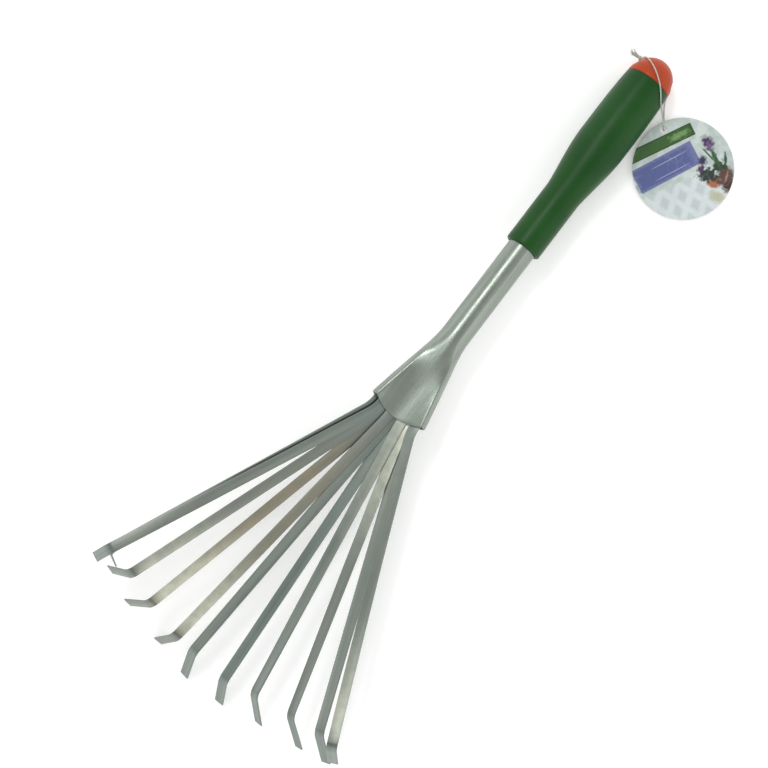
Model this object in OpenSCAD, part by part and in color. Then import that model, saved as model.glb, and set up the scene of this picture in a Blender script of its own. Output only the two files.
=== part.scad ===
// Hand rake with eleven flat spring tines, a steel tube handle, a moulded grip and a hang tag on a string.
// It lies as it rests on a floor: the lowest tips and the rim of the grip touch z = 0.
// +Y runs from the tines to the butt, +Z is up, and the origin is under the middle of the rake's box.

/* [Tines] */
// Width of a tine strip
tine_w = 5.7; // [5:0.1:6.2]
// Thickness of a tine strip
tine_t = 0.8; // [0.6:0.05:0.9]
// Length of the middle tine from the socket to the bend
tine_l = 165; // [130:1:205]
// Length of the bent tip
tip_l = 21; // [15:1:26]
// Bend of the tip, in degrees
tip_bend = 45; // [35:1:60]
// How far the tines droop below the line of the handle, in degrees
droop = 8.8; // [6:0.1:12]
// Depth of the tines' roots in the socket
root_depth = 10; // [8:1:11]

/* [Handle tube] */
// Outer diameter of the tube
tube_d = 16; // [14:0.5:17]
// Wall of the tube and of the socket
tube_wall = 1.1; // [0.8:0.1:1.3]
// Length of the flared and flattened socket
socket_l = 50; // [42:1:60]
// Bare tube between the socket and the grip
bare_l = 57.5; // [45:0.5:80]
// Tube inside the grip
tube_in_grip = 64; // [50:1:66]
// Radius of the socket's curved cross-section at the mouth
crescent_r = 32; // [28:1:40]

/* [Grip] */
// Diameter of the slim front of the grip
neck_d = 20.2; // [20:0.1:21]
// Diameter of the barrel of the grip
barrel_d = 27.5; // [26:0.1:31]
// Length of the slim front
neck_l = 36; // [30:1:42]
// Length of the taper between the slim front and the barrel
taper_l = 35; // [26:1:40]
// Length of the barrel up to the cap
barrel_l = 40.5; // [36:1:50]
// Diameter where the grip meets the cap
rim_d = 25.8; // [25:0.1:27]

/* [Cap] */
// Height of the domed cap
cap_h = 14.6; // [12:0.1:18]
// Diameter of the cap's spigot
spigot_d = 19; // [17:0.5:20]
// Length of the cap's spigot
spigot_l = 14; // [8:1:18]
// Height of the hang slot
slot_h = 9.4; // [8:0.2:10]
// Width of the hang slot
slot_w = 5.4; // [4.8:0.1:5.6]

/* [Tag] */
// Diameter of the hang tag
tag_d = 55; // [45:0.2:60]
// Thickness of the hang tag
tag_t = 0.7; // [0.5:0.05:0.9]
// Diameter of the hole in the tag
tag_hole_d = 4; // [3.8:0.1:5]
// From the hole's centre to the tag's edge
tag_rim = 4.1; // [3.6:0.1:6]
// Diameter of the tag string
string_d = 0.9; // [0.8:0.05:1]

/* [Hidden] */
TINE_NODES = ["tine_01", "tine_02", "tine_03", "tine_04", "tine_05", "tine_06",
              "tine_07", "tine_08", "tine_09", "tine_10", "tine_11"];

// The fan, one value for each tine from -X to +X. No two tines of such a rake are set quite alike.
SPLAY = [-23.9, -24.9, -19.5, -13.5, -6.6, -3.2, 3.7, 9.1, 16, 21, 23.1]; // degrees
ROLL = [16, -3, -24, -27, -17, 22, 19, 41, 45, 31, 13]; // at the bend, in degrees
BOW = [7, 11, 6, 1.5, -2.2, -1.2, -0.8, 0.4, 4, 7.6, 13]; // rise of the bend that comes from the bow of the strip
FOLD = [40, 26, 20, 11, 9, -5, 0, 0, 0, 4, 28]; // more than the common bend of the tips, in degrees
REACH = [-2.6, -1, -3, -0.8, 2.2, 1.8, 4, 1.5, 3, 5.3, 8.8]; // more or less than the middle tine's length
LAYERS = [-1, 1, 0]; // the roots lie in three layers, so that neighbours pass each other
tines = len(SPLAY);
root_pitch = 0.44 * tine_w;
layer_gap = 0.22;
layer_step = tine_t + layer_gap;
ease_from = 2; // a tine turns to its own direction from here
ease_l = 8; // over this length
ease_end = ease_from + ease_l;
twist_from = 50; // and bows and twists to its own roll from here
bend_steps = 5;
bend_arc = 6; // length of strip in the bend
shank_steps = 12;

// Handle frame: the socket's mouth is at the origin, and the tube runs along +Y.
function smooth(v) = let (c = min(1, max(0, v))) c * c * (3 - 2 * c);
function flare(v) = v * (1 - pow(1 - v, 4)); // from the tube, 0, to the mouth of the socket, 1
function unit(v) = v / norm(v);
function eased(u) = let (v = u - ease_from) v < 0 ? 0 : v > ease_l ? v - ease_l / 2 : v * v / (2 * ease_l);
function arc_angle(k) = (k - (tines - 1) / 2) * root_pitch / crescent_r * 180 / PI;
// Inside the socket the roots draw together as the socket does.
function root_of(k, u) =
    let (a = arc_angle(k), f = flare(1 + min(0, u) / socket_l), layer = LAYERS[k % 3] * layer_step)
        [(f * crescent_r - layer) * sin(a), 0, f * crescent_r * (1 - cos(a)) + layer * cos(a)];
function shank_len(k) = (tine_l + REACH[k]) * cos(SPLAY[k]);
// Neighbours keep to one hollow surface while they overlap: the slope of tine k against the middle one.
function slope_step(k) = (tan(SPLAY[k + 1]) - tan(SPLAY[k])) * (tan(arc_angle(k)) + tan(arc_angle(k + 1))) / 2;
function slope(k) = let (m = (tines - 1) / 2)
    k == m ? 0 : k > m ? slope(k - 1) + slope_step(k - 1) : slope(k + 1) - slope_step(k);
function past_twist(k, u) = max(0, (u - twist_from) / (shank_len(k) - twist_from));
function shank_point(k, u) = root_of(k, u)
    + [tan(SPLAY[k]) * eased(u),
       -u,
       (slope(k) - tan(droop)) * eased(u) + BOW[k] * pow(past_twist(k, u), 2)];
function shank_roll(k, u) = arc_angle(k) + (ROLL[k] - arc_angle(k)) * smooth(past_twist(k, u));
function across(roll, dir) = let (level = [cos(roll), 0, sin(roll)]) unit(level - dir * (dir * level));

// A station of a strip is [centre, direction, across].
function shank_station(k, u) = let (d = unit(shank_point(k, u + 0.5) - shank_point(k, u - 0.5)))
    [shank_point(k, u), d, across(shank_roll(k, u), d)];
function up_of(st) = cross(st[1], st[2]);
function turned(st, angle) = st[1] * cos(angle) - up_of(st) * sin(angle);
function bend_station(st, bend, i) = i == 0 ? st
    : let (p = bend_station(st, bend, i - 1))
      [p[0] + turned(p, bend / bend_steps / 2) * bend_arc / bend_steps,
       turned(p, bend / bend_steps),
       p[2]];
function stations(k) =
    let (last = shank_len(k) - bend_arc / 2,
         b = shank_station(k, last),
         bend = tip_bend + FOLD[k],
         e = bend_station(b, bend, bend_steps),
         start = [-root_depth, -root_depth / 2, 0, ease_from, ease_from + ease_l / 3, ease_from + ease_l * 2 / 3])
    concat([for (u = start) shank_station(k, u)],
           [for (i = [0:shank_steps]) shank_station(k, ease_end + (last - ease_end) * i / shank_steps)],
           [for (i = [1:bend_steps]) bend_station(b, bend, i)],
           [[e[0] + e[1] * (tip_l - bend_arc / 2), e[1], e[2]]]);
function strip_ring(st) = let (w = st[2] * tine_w / 2, h = up_of(st) * tine_t / 2)
    [st[0] - w - h, st[0] + w - h, st[0] + w + h, st[0] - w + h];
function tine_points(k) = [for (st = stations(k)) each strip_ring(st)];
function tip_ring(k) = let (s = stations(k)) strip_ring(s[len(s) - 1]);

// A closed skin over rings of n points each
module skin(points, n) {
    rings = len(points) / n;
    sides = [for (r = [0:rings - 2], i = [0:n - 1])
        let (a = r * n + i, b = r * n + (i + 1) % n)
            each [[b, a, a + n], [b, a + n, b + n]]];
    ends = [[for (i = [0:n - 1]) i], [for (i = [n - 1:-1:0]) (rings - 1) * n + i]];
    polyhedron(points, concat(sides, ends), convexity = 6);
}

// Lengths along the handle
grip_y = socket_l + bare_l;
grip_l = neck_l + taper_l + barrel_l;
cap_y = grip_y + grip_l;
fit_gap = 0.05;

// How the rake lies: the line from the grip's rim to the lowest tip is the floor.
lean = max([for (k = [0:tines - 1], p = tip_ring(k)) atan2(-rim_d / 2 - p[2], cap_y - p[1])]);
function leaned(p) = [p[0], p[1] * cos(lean) + p[2] * sin(lean), p[2] * cos(lean) - p[1] * sin(lean)];
PLACED = [for (k = [0:tines - 1], p = tine_points(k)) leaned(p)];
mid_x = (max([for (p = PLACED) p[0]]) + min([for (p = PLACED) p[0]])) / 2;
mid_y = (leaned([0, cap_y + cap_h, 0])[1] + min([for (p = PLACED) p[1]])) / 2;
dome_low = norm([rim_d / 2 * cos(lean), cap_h * sin(lean)]); // from the rim's middle down to the dome's lowest point
floor_z = min(min([for (p = PLACED) p[2]]), leaned([0, cap_y, 0])[2] - dome_low);
module lying() {
    translate([-mid_x, -mid_y, -floor_z])
        rotate([-lean, 0, 0])
            children();
}

// The round tube opens out at its front end into a curved slot that holds the roots of the tines.
socket_rings = 12;
tube_sides = 48;
tube_l = socket_l + bare_l + tube_in_grip;
wall_gap = 0.3; // between the outer layers and the slot's walls
slot_t = 3 * tine_t + 2 * layer_gap + 2 * wall_gap;
slot_end = 1.2; // length of the rounding at the slot's two ends
slot_half = (tines - 1) / 2 * root_pitch + tine_w / 2 + 0.45;
mouth_over = 4.2; // the middle of the mouth stands this far out
function squarish(v) = sign(v) * sqrt(abs(v));
function slot_outline(a, half, r, end) = let (c = cos(a) / cos(45))
    abs(c) > 1 ? sign(c) * [half - end + end * squarish(cos(2 * a)), r * squarish(sin(2 * a))]
               : [(half - end) * c, r * sign(sin(a))];
function curved(p) = let (a = p[0] / crescent_r * 180 / PI, r = crescent_r - p[1])
    [r * sin(a), crescent_r - r * cos(a)];
// v is 0 on the round tube and 1 at the mouth; grow is 0 inside and the wall outside.
function tube_point(a, y, v, grow) =
    let (f = flare(v),
         r = tube_d / 2 - tube_wall + grow,
         flat = slot_outline(a, slot_half + grow, slot_t / 2 + grow, slot_end + grow),
         over = mouth_over * v * v * (1 - pow(flat[0] / (slot_half + grow), 2)),
         p = [r * cos(a), r * sin(a)] * (1 - f) + curved(flat) * f)
    [p[0], y - over, p[1]];
TUBE_STATIONS = concat([[tube_l, 0]], [for (i = [0:socket_rings]) let (v = i / socket_rings) [(1 - v) * socket_l, v]]);
function tube_ring(st, grow) = [for (i = [0:tube_sides - 1]) tube_point(360 * i / tube_sides, st[0], st[1], grow)];
module handle_tube() {
    n = tube_sides;
    half = len(TUBE_STATIONS);
    count = 2 * half;
    outside = [for (st = TUBE_STATIONS) each tube_ring(st, tube_wall)];
    inside = [for (i = [half - 1:-1:0]) each tube_ring(TUBE_STATIONS[i], 0)];
    faces = [for (r = [0:count - 1], i = [0:n - 1])
        let (s = (r + 1) % count, j = (i + 1) % n)
            each [[r * n + j, r * n + i, s * n + i], [r * n + j, s * n + i, s * n + j]]];
    color([0.62, 0.65, 0.62])
        lying()
            polyhedron(concat(outside, inside), faces, convexity = 8);
}

// Turned parts are drawn up +Z and laid along +Y from the given place.
module along_handle(y) {
    translate([0, y, 0])
        rotate([-90, 0, 0])
            children();
}

module tine(k) {
    color([0.55, 0.58, 0.55])
        lying()
            skin(tine_points(k), 4);
}

// Outside of the grip, from its front lip to the cap, and of the cap: [radius, length along it]
lip_r = 1.2;
function lip(a) = [neck_d / 2 - lip_r * (1 - cos(a)), lip_r * (1 - sin(a))];
function taper(v) = [neck_d / 2 + (barrel_d - neck_d) / 2 * sin(90 * pow(v, 1.25)), neck_l + taper_l * v];
function barrel(v) = [rim_d / 2 + (barrel_d - rim_d) / 2 * cos(90 * v * v), neck_l + taper_l + barrel_l * v];
function dome(a) = [rim_d / 2 * cos(a), cap_h * sin(a)];

module grip() {
    outline = concat([[0, 0]],
                     [for (a = [90:-15:0]) lip(a)],
                     [for (i = [0:10]) taper(i / 10)],
                     [for (i = [1:8]) barrel(i / 8)],
                     [[0, grip_l]]);
    seat_l = spigot_l + fit_gap;
    color([0.12, 0.36, 0.14])
        lying()
            along_handle(grip_y)
                difference() {
                    rotate_extrude($fn = 96)
                        polygon(outline);
                    translate([0, 0, -1])
                        cylinder(d = tube_d + 2 * fit_gap, h = tube_in_grip + 1, $fn = 64);
                    translate([0, 0, grip_l - seat_l])
                        cylinder(d = spigot_d + 2 * fit_gap, h = seat_l + 1, $fn = 64);
                }
}

slot_at = 3 + slot_w / 2; // from the rim of the cap to the middle of the slot
module hang_slot() {
    straight = slot_h - slot_w;
    through = rim_d + 2;
    translate([-through / 2, 0, 0])
        rotate([0, 90, 0]) {
            translate([-straight / 2, -slot_w / 2, 0])
                cube([straight, slot_w, through]);
            for (side = [-1, 1])
                translate([side * straight / 2, 0, 0])
                    cylinder(d = slot_w, h = through, $fn = 48);
        }
}

module end_cap() {
    color([0.78, 0.30, 0.18])
        lying() {
            difference() {
                along_handle(cap_y)
                    rotate_extrude($fn = 96)
                        polygon(concat([[0, 0]], [for (a = [0:7.5:90]) dome(a)]));
                translate([0, cap_y + slot_at, 0])
                    hang_slot();
            }
            along_handle(cap_y - spigot_l)
                cylinder(d = spigot_d, h = spigot_l + 0.5, $fn = 64);
        }
}

// The tag, its string and the knot are placed for a slot whose middle is here, and go with the slot.
SLOT_PLACE = [-2.56, 199.61];
slot_moved = [-mid_x, leaned([0, cap_y + slot_at, 0])[1] - mid_y] - SLOT_PLACE;
module beside_cap() {
    translate([slot_moved[0], slot_moved[1], 0])
        children();
}

// The tag lies level on the string below it and swings round the string in its hole.
TAG_HOLE = [19.6, 182, 1.2]; // middle of the hole, under the tag
tag_turn = -26; // from +X to the line from the hole to the tag's middle
module hang_tag() {
    color([0.80, 0.84, 0.82])
        beside_cap()
            translate(TAG_HOLE)
                difference() {
                    rotate([0, 0, tag_turn])
                        translate([tag_d / 2 - tag_rim, 0, 0])
                            cylinder(d = tag_d, h = tag_t, $fn = 120);
                    translate([0, 0, -1])
                        cylinder(d = tag_hole_d, h = tag_t + 2, $fn = 48);
                }
}

// The string runs from the knot over the cap, down through the tag, back under it and through the slot.
ROUTE = [[-13.7, 203.3, 9.8], [-12.9, 203.7, 12.2], [-12.3, 204, 15.1], [-11.3, 203.9, 17.8], [-9.9, 203.3, 20.3],
         [-8.2, 202.4, 22.4], [-6.1, 201.2, 24.1], [-3.9, 199.8, 25.2], [-1.6, 198.3, 25.7], [0.7, 196.6, 25.7],
         [3, 194.8, 25.2], [5.1, 192.8, 24.3], [7, 190.8, 23], [8.7, 188.9, 21.2], [11.2, 187.2, 17.4],
         [14.1, 185.4, 12.7], [16.9, 183.7, 8.1], [18.9, 182.4, 4.9], [19.7, 181.9, 3.5], [20, 181.7, 2.4],
         [19.7, 181.9, 1.3], [19.2, 182.4, 0.7], [18.4, 183.6, 0.5], [17, 185.8, 0.5], [15.5, 188, 0.5],
         [13.9, 190.2, 0.6], [12.4, 192.2, 1.1], [11.1, 194.2, 2.2], [10.2, 196.2, 4], [9.7, 198, 6.2],
         [8.9, 199.3, 8.1], [7.1, 199.6, 8.7], [3.2, 199.6, 8.6], [-1.3, 199.6, 8.5], [-5.8, 199.6, 8.6],
         [-10.3, 199.7, 8.7], [-12.5, 200.4, 8.8], [-13.5, 201.8, 8.9], [-13.9, 203, 9]];
KNOT = [-13.9, 203.4, 9.3];
knot_r = 1.4;
string_sides = 8;
function along(i, v) =
    let (n = len(ROUTE), a = ROUTE[max(0, i - 1)], b = ROUTE[i], c = ROUTE[i + 1], d = ROUTE[min(n - 1, i + 2)])
    b + 0.5 * v * (c - a + v * (2 * a - 5 * b + 4 * c - d + v * (3 * (b - c) + d - a)));
STRING = concat([for (i = [0:len(ROUTE) - 2], v = [0, 0.5]) along(i, v)], [ROUTE[len(ROUTE) - 1]]);
function heading(i) = unit(STRING[min(len(STRING) - 1, i + 1)] - STRING[max(0, i - 1)]);
function square_to(side, dir) = unit(side - dir * (side * dir));
SIDES = [for (i = 0, side = square_to([0, 1, 0], heading(0)); i < len(STRING);
              i = i + 1, side = i < len(STRING) ? square_to(side, heading(i)) : side) side];
module tag_string() {
    points = [for (i = [0:len(STRING) - 1], j = [0:string_sides - 1])
        let (a = 360 * j / string_sides)
            STRING[i] + string_d / 2 * (SIDES[i] * cos(a) + cross(heading(i), SIDES[i]) * sin(a))];
    color([0.86, 0.88, 0.84])
        beside_cap()
            skin(points, string_sides);
}

// The knot and its two cut ends
tail_l = 6.4;
module string_knot() {
    color([0.80, 0.80, 0.76])
        beside_cap()
            translate(KNOT) {
                sphere(r = knot_r, $fn = 32);
                for (turn = [-9, 14])
                    rotate([turn, -96, turn])
                        cylinder(d = string_d, h = tail_l, $fn = 24);
            }
}

for (k = [0:tines - 1])
    tine(k);
handle_tube();
grip();
end_cap();
hang_tag();
tag_string();
string_knot();
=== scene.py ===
# %% [markdown]
# # A short-handled garden rake
# The rake has eleven spring-steel tines held in a flared steel tube, a moulded grip with a domed cap, and a
# round card tag on a thread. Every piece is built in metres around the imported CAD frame, so a piece that
# follows the same rule as the CAD lands in the same place.

# %% Load the frame
import math
import bmesh
import bpy
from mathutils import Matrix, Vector


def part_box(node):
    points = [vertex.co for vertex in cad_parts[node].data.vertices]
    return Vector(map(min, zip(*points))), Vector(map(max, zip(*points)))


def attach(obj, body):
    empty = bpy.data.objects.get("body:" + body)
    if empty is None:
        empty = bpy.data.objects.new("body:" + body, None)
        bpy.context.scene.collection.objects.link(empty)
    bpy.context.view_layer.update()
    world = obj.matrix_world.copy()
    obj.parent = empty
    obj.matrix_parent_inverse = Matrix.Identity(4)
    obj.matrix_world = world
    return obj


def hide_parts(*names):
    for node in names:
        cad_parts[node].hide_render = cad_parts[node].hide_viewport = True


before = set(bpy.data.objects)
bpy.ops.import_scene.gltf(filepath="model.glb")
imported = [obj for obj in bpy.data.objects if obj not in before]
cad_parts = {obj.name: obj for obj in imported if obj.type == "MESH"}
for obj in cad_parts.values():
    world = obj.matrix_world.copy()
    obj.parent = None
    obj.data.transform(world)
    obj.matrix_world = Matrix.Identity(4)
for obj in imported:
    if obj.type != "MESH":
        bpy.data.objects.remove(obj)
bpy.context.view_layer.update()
MM = 0.001
print("frame loaded,", len(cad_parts), "nodes")

# %% [markdown]
# ## The camera
# The rake is seen from straight above, turned so that its handle runs up to the right. A long lens nearly a
# metre away keeps the perspective weak.

# %% Place the camera
VIEW_TURN = math.radians(37.366)
lens = bpy.data.cameras.new("view")
lens.sensor_width = 36
lens.lens = 86.25
camera = bpy.data.objects.new("view", lens)
camera.location = (-0.0168, -0.0182, 0.993)
camera.rotation_euler = (0, 0, VIEW_TURN)
bpy.context.scene.collection.objects.link(camera)
bpy.context.scene.camera = camera
print("camera", tuple(round(v, 4) for v in camera.location))

# %% [markdown]
# ## Small tools for node trees
# Materials and Geometry Nodes are both trees of nodes. One helper adds a node and joins it to whatever feeds
# it, which keeps the recipes below short.

# %% Helpers for nodes
def put(tree, kind, inputs=None, **settings):
    """Adds a node. inputs maps a socket's name or number to a value, or to the output that feeds it."""
    node = tree.nodes.new(kind)
    for name, value in settings.items():
        setattr(node, name, value)
    for socket, value in (inputs or {}).items():
        if isinstance(value, bpy.types.NodeSocket):
            tree.links.new(value, node.inputs[socket])
        else:
            node.inputs[socket].default_value = value
    return node


def maths(tree, operation, first, second=0.0, third=0.0):
    """The output of a Math node."""
    return put(tree, "ShaderNodeMath", {0: first, 1: second, 2: third}, operation=operation).outputs[0]


def blend_colour(tree, share, first, second, mode="MIX"):
    """The colour output of a Mix node set to colours."""
    node = put(tree, "ShaderNodeMix", {0: share, 6: first, 7: second}, data_type="RGBA", blend_type=mode)
    return node.outputs[2]


def spread(tree, value, low, high, to_low=0.0, to_high=1.0):
    """value moved from the range low to high into another range, and kept inside it."""
    sockets = {"Value": value, "From Min": low, "From Max": high, "To Min": to_low, "To Max": to_high}
    return put(tree, "ShaderNodeMapRange", sockets, clamp=True).outputs[0]


def new_group(kind, name, takes, gives):
    """A node group with its sockets. takes holds name, socket type and default; gives holds name and type."""
    tree = bpy.data.node_groups.new(name, kind)
    for label, socket, default in takes:
        made = tree.interface.new_socket(label, in_out="INPUT", socket_type=socket)
        if default is not None:
            made.default_value = default
    for label, socket in gives:
        tree.interface.new_socket(label, in_out="OUTPUT", socket_type=socket)
    return tree, tree.nodes.new("NodeGroupInput"), tree.nodes.new("NodeGroupOutput")


def rgb(red, green, blue):
    """A colour given as it is seen on a screen, 0 to 255, as the linear colour that Blender wants."""
    def linear(level):
        level /= 255
        return level / 12.92 if level <= 0.04045 else ((level + 0.055) / 1.055) ** 2.4
    return (linear(red), linear(green), linear(blue), 1)


print("helpers ready")

# %% [markdown]
# ## Effects that several materials share
# Handled goods carry faint rubbed patches and hairline scratches, and drawn or rolled metal carries a grain
# that runs one way. Both are made once as shader groups with their own inputs, and every material below
# places them with its own values.

# %% Shader group for rubbed patches and hairlines
FLOAT, VECTOR = "NodeSocketFloat", "NodeSocketVector"
marks, take, give = new_group("ShaderNodeTree", "Handling marks",
                              [("Vector", VECTOR, None), ("Size", FLOAT, 120.0), ("Seed", FLOAT, 0.0)],
                              [("Patches", FLOAT), ("Hairlines", FLOAT)])
cloud = put(marks, "ShaderNodeTexNoise", {"Vector": take.outputs["Vector"], "Scale": take.outputs["Size"],
                                          "W": take.outputs["Seed"], "Detail": 5.0, "Roughness": 0.6},
            noise_dimensions="4D")
patches = spread(marks, cloud.outputs[0], 0.42, 0.68)
cells = put(marks, "ShaderNodeTexVoronoi", {"Vector": take.outputs["Vector"],
                                            "Scale": maths(marks, "MULTIPLY", take.outputs["Size"], 1.7)},
            feature="DISTANCE_TO_EDGE")
hair = spread(marks, cells.outputs[0], 0.004, 0.02, 1.0, 0.0)
broken = spread(marks, cloud.outputs[0], 0.5, 0.62)
marks.links.new(patches, give.inputs["Patches"])
marks.links.new(maths(marks, "MULTIPLY", hair, broken), give.inputs["Hairlines"])
print("group", marks.name)

# %% Shader group for the grain of drawn or rolled metal
grain, take, give = new_group("ShaderNodeTree", "Drawn grain",
                              [("Vector", VECTOR, None), ("Fineness", FLOAT, 3000.0),
                               ("Stretch", FLOAT, 0.02)],
                              [("Grain", FLOAT), ("Bands", FLOAT)])
squeeze = put(grain, "ShaderNodeCombineXYZ", {0: 1.0, 1: take.outputs["Stretch"], 2: 1.0})
along = put(grain, "ShaderNodeVectorMath", {0: take.outputs["Vector"], 1: squeeze.outputs[0]},
            operation="MULTIPLY")
for output, share, detail in (("Grain", 1.0, 4.0), ("Bands", 0.12, 2.0)):
    noise = put(grain, "ShaderNodeTexNoise", {
        "Vector": along.outputs[0], "Detail": detail, "Roughness": 0.65,
        "Scale": maths(grain, "MULTIPLY", take.outputs["Fineness"], share)})
    grain.links.new(noise.outputs[0], give.inputs[output])
print("group", grain.name)

# %% [markdown]
# ## Materials
# The metal is zinc-plated steel: a satin mirror whose tone comes from what it faces. The mouldings are glossy
# polypropylene with a faint orange peel. The thread is a pale translucent plastic fibre.

# %% A start for every material
def new_material(name, **sockets):
    """A material, its tree and its Principled node, with plain values set on the node's own sockets."""
    material = bpy.data.materials.new(name)
    material.use_nodes = True
    tree = material.node_tree
    body = tree.nodes["Principled BSDF"]
    for label, value in sockets.items():
        body.inputs[label.replace("_", " ")].default_value = value
    return material, tree, body


def place_marks(tree, vector, size, seed):
    group = put(tree, "ShaderNodeGroup", node_tree=marks)
    tree.links.new(vector, group.inputs["Vector"])
    group.inputs["Size"].default_value = size
    group.inputs["Seed"].default_value = seed
    return group.outputs["Patches"], group.outputs["Hairlines"]


def place_grain(tree, vector, fineness, stretch):
    group = put(tree, "ShaderNodeGroup", node_tree=grain)
    tree.links.new(vector, group.inputs["Vector"])
    group.inputs["Fineness"].default_value = fineness
    group.inputs["Stretch"].default_value = stretch
    return group.outputs["Grain"], group.outputs["Bands"]


def raise_surface(tree, body, height, distance, strength=1.0):
    bump = put(tree, "ShaderNodeBump", {"Height": height, "Distance": distance, "Strength": strength})
    tree.links.new(bump.outputs[0], body.inputs["Normal"])


def object_space(tree):
    return put(tree, "ShaderNodeTexCoord").outputs["Object"]


print("material helpers ready")

# %% Zinc-plated steel
def plated_steel(name, dark, light, grain_space, fineness, roughness):
    """A satin plated metal with a grain, faint spangle and rubbed patches. Gives tree and tone too."""
    material, tree, body = new_material(name, Metallic=1.0)
    fine, bands = place_grain(tree, grain_space(tree), fineness, 0.02)
    patches, hair = place_marks(tree, object_space(tree), 90.0, 2.0)
    tone = blend_colour(tree, spread(tree, bands, 0.35, 0.65), dark, light)
    spangle = put(tree, "ShaderNodeTexVoronoi", {"Vector": object_space(tree), "Scale": 420.0})
    tone = blend_colour(tree, spread(tree, spangle.outputs[0], 0.0, 1.0, 0.0, 0.12), tone, dark)
    tone = blend_colour(tree, maths(tree, "MULTIPLY", patches, 0.3), tone, light)
    tone = blend_colour(tree, maths(tree, "MULTIPLY", hair, 0.2), tone, light)
    tree.links.new(tone, body.inputs["Base Color"])
    rough = spread(tree, fine, 0.3, 0.7, roughness - 0.04, roughness + 0.05)
    rough = maths(tree, "ADD", rough, maths(tree, "MULTIPLY", patches, 0.06))
    tree.links.new(rough, body.inputs["Roughness"])
    raise_surface(tree, body, maths(tree, "ADD", fine, maths(tree, "MULTIPLY", hair, -0.4)), 0.00001, 0.35)
    return material, tree, body, tone


def stored(tree, name, output="Vector"):
    return put(tree, "ShaderNodeAttribute", attribute_name=name).outputs[output]


def strip_space(tree):
    """Across, along and through a tine, as its sweep stored them."""
    return stored(tree, "strip_place")


tube_steel = plated_steel("zinc plated tube", rgb(130, 138, 129), rgb(146, 154, 145),
                          object_space, 2200.0, 0.27)[0]
print("steel", tube_steel.name)

# %% [markdown]
# The tines are the same metal, hardened and pressed after they were cut. Their colour carries painted light:
# a painted warm reflection on some, a painted highlight before the fold on some and near the root on others,
# a faint painted highlight on the tips, and painted shade along the line where a tip is folded. The rail of
# each tine carries those three amounts from point to point, and the material mixes them in.

# %% Tine steel
tine_steel, tree, body, tone = plated_steel("zinc plated strip", rgb(112, 122, 118), rgb(134, 143, 138),
                                            strip_space, 2600.0, 0.36)
# The rail carries three amounts of painted light for each point: warm reflection, highlight and fold shade.
history = put(tree, "ShaderNodeSeparateXYZ", {0: stored(tree, "history")})
warm_reflection, wear_and_highlight, fold_shade = history.outputs
ragged = put(tree, "ShaderNodeTexNoise", {"Vector": object_space(tree), "Scale": 160.0, "Detail": 4.0})
ragged = spread(tree, ragged.outputs[0], 0.3, 0.7, 0.6, 1.2)
# Painted warm reflection: a tan tint along the main length of some tines.
tone = blend_colour(tree, maths(tree, "MULTIPLY", warm_reflection, ragged), tone, rgb(152, 143, 124))
# Painted highlight: a pale stretch before the fold, near the root, and faintly on the tips.
tone = blend_colour(tree, maths(tree, "MULTIPLY", wear_and_highlight, ragged), tone, rgb(206, 208, 192))
# Painted shade: a dark line along the fold of each tip.
tone = blend_colour(tree, fold_shade, tone, rgb(84, 84, 78))
tree.links.new(tone, body.inputs["Base Color"])
print("steel", tine_steel.name)

# %% Moulded plastic
def moulded_plastic(name, deep, wear_and_highlight, roughness, seed):
    material, tree, body = new_material(name, Specular_IOR_Level=0.22)
    space = object_space(tree)
    patches, hair = place_marks(tree, space, 70.0, seed)
    flow = put(tree, "ShaderNodeTexNoise", {"Vector": space, "Scale": 38.0, "Detail": 3.0})
    tone = blend_colour(tree, spread(tree, flow.outputs[0], 0.35, 0.7), deep, wear_and_highlight)
    tone = blend_colour(tree, maths(tree, "MULTIPLY", hair, 0.25), tone, wear_and_highlight)
    tree.links.new(tone, body.inputs["Base Color"])
    peel = put(tree, "ShaderNodeTexNoise", {"Vector": space, "Scale": 1500.0, "Detail": 2.0})
    rough = maths(tree, "ADD", spread(tree, peel.outputs[0], 0.3, 0.7, roughness, roughness + 0.05),
                  maths(tree, "MULTIPLY", patches, 0.08))
    tree.links.new(rough, body.inputs["Roughness"])
    height = maths(tree, "ADD", peel.outputs[0], maths(tree, "MULTIPLY", hair, -0.8))
    raise_surface(tree, body, height, 0.00004, 0.6)
    return material


grip_green = moulded_plastic("green moulding", rgb(12, 63, 14), rgb(20, 71, 18), 0.33, 5.0)
cap_orange = moulded_plastic("orange moulding", rgb(164, 58, 24), rgb(174, 72, 36), 0.32, 9.0)
print("plastic", grip_green.name, cap_orange.name)

# %% Thread
thread_pale, tree, body = new_material("pale thread", Subsurface_Weight=0.25, Transmission_Weight=0.4)
body.inputs["Subsurface Radius"].default_value = (0.0006, 0.0006, 0.0005)
fibre, fibre_bands = place_grain(tree, object_space(tree), 5200.0, 0.4)
tone = blend_colour(tree, spread(tree, fibre, 0.35, 0.65), rgb(190, 192, 184), rgb(232, 233, 226))
tree.links.new(tone, body.inputs["Base Color"])
tree.links.new(spread(tree, fibre_bands, 0.3, 0.7, 0.35, 0.55), body.inputs["Roughness"])
raise_surface(tree, body, fibre, 0.00003, 0.5)
print("thread", thread_pale.name)

# %% [markdown]
# ## From node trees and points to finished pieces
# A Geometry Nodes tree runs on a small mesh of points. The result is turned into a plain mesh straight away,
# so nothing is left live when the piece joins its body.

# %% Helpers for pieces
def new_object(name, mesh):
    made = bpy.data.objects.new(name, mesh)
    bpy.context.scene.collection.objects.link(made)
    return made


def mesh_from(name, points, faces=(), edges=()):
    mesh = bpy.data.meshes.new(name)
    mesh.from_pydata([tuple(p) for p in points], list(edges), [tuple(f) for f in faces])
    mesh.update()
    return mesh


def rail_from(name, points):
    """A chain of points and edges for a tree to sweep along."""
    return new_object(name, mesh_from(name, points, edges=[(i, i + 1) for i in range(len(points) - 1)]))


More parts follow.
